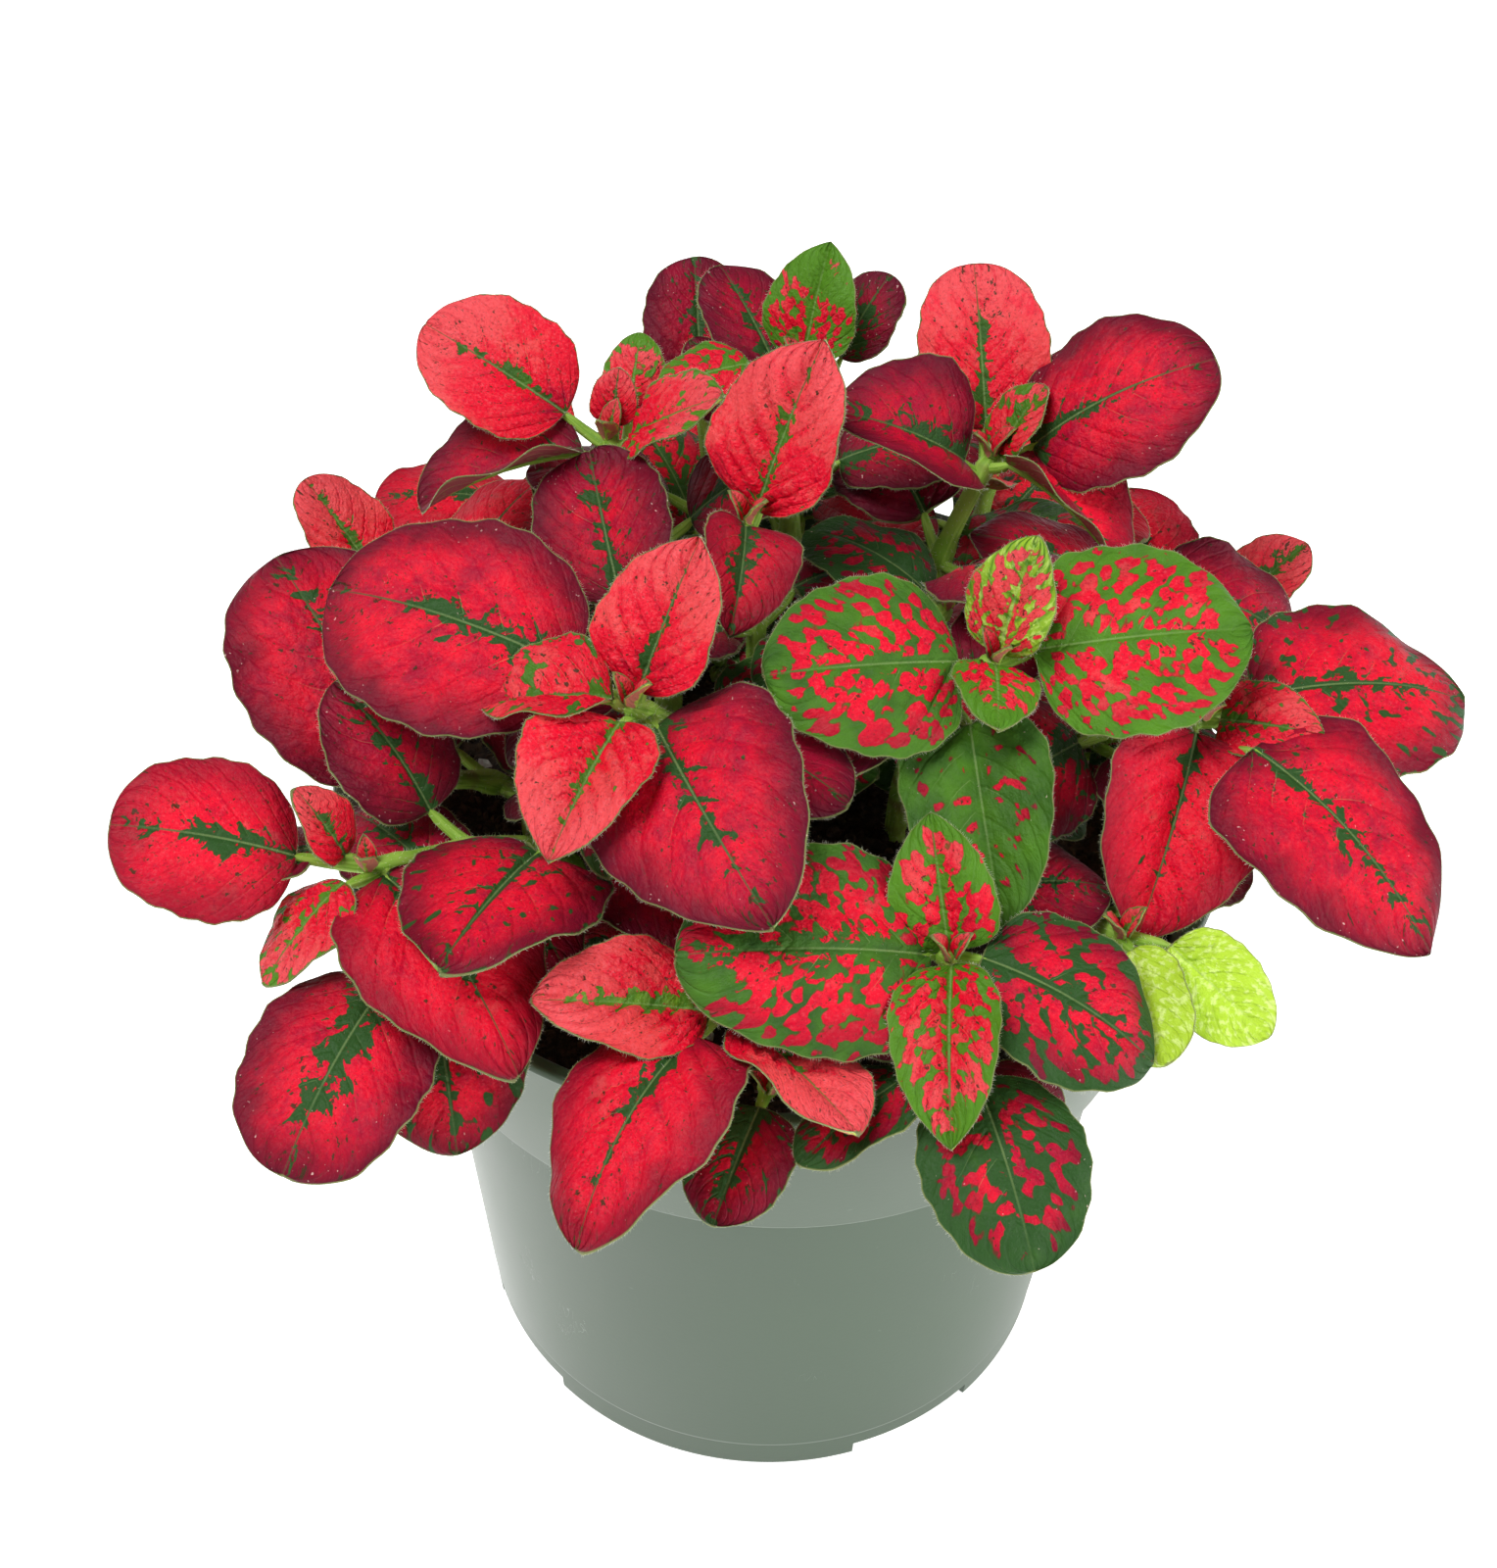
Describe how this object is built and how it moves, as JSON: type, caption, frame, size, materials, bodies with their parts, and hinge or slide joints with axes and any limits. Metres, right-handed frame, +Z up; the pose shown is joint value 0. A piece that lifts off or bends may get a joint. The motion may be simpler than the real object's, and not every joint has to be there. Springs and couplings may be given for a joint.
{
  "type": "potted polka dot plant",
  "caption": "Bushy houseplant of oval, red-splashed leaves in opposite pairs on soft stems, rooted in soil in a round plastic nursery pot with a flared band and notched foot.",
  "frame": {"origin": "centre of the pot's underside, on the surface it stands on", "axes": "+Z up the pot's axis, -Y towards the side the picture was taken from, +X to the right seen from there"},
  "size_m": [0.1519, 0.1449, 0.1421],
  "materials": {
    "pot_plastic": "sage grey-green moulded plastic, satin, faintly scratched",
    "potting_soil": "dark crumbly peat mix",
    "red_leaf": "soft quilted leaf, red with a green midrib splash and an olive rim",
    "green_leaf": "soft quilted leaf, green with coral red blotches between the veins"
  },
  "bodies": {
    "root": {"pot": "pot_plastic", "soil": "potting_soil", "stem_left": "red_leaf", "stem_left_back": "red_leaf", "stem_left_front": "red_leaf", "stem_middle": "red_leaf", "stem_crimson": "red_leaf", "stem_back_left": "red_leaf", "stem_centre": "red_leaf", "stem_back": "green_leaf", "stem_back_middle": "red_leaf", "stem_back_right": "red_leaf", "stem_right_middle": "green_leaf", "stem_right": "red_leaf", "stem_front": "green_leaf", "stem_front_left": "red_leaf", "stem_front_right": "green_leaf", "stem_front_low": "red_leaf", "stem_middle_low": "red_leaf", "stem_right_back": "red_leaf", "stem_inner_green": "green_leaf", "stem_right_front": "green_leaf", "stem_far_left": "red_leaf", "stem_far_back_left": "red_leaf", "stem_far_back": "red_leaf", "stem_far_back_right": "red_leaf", "stem_far_right": "red_leaf"}
  },
  "joints": []
}
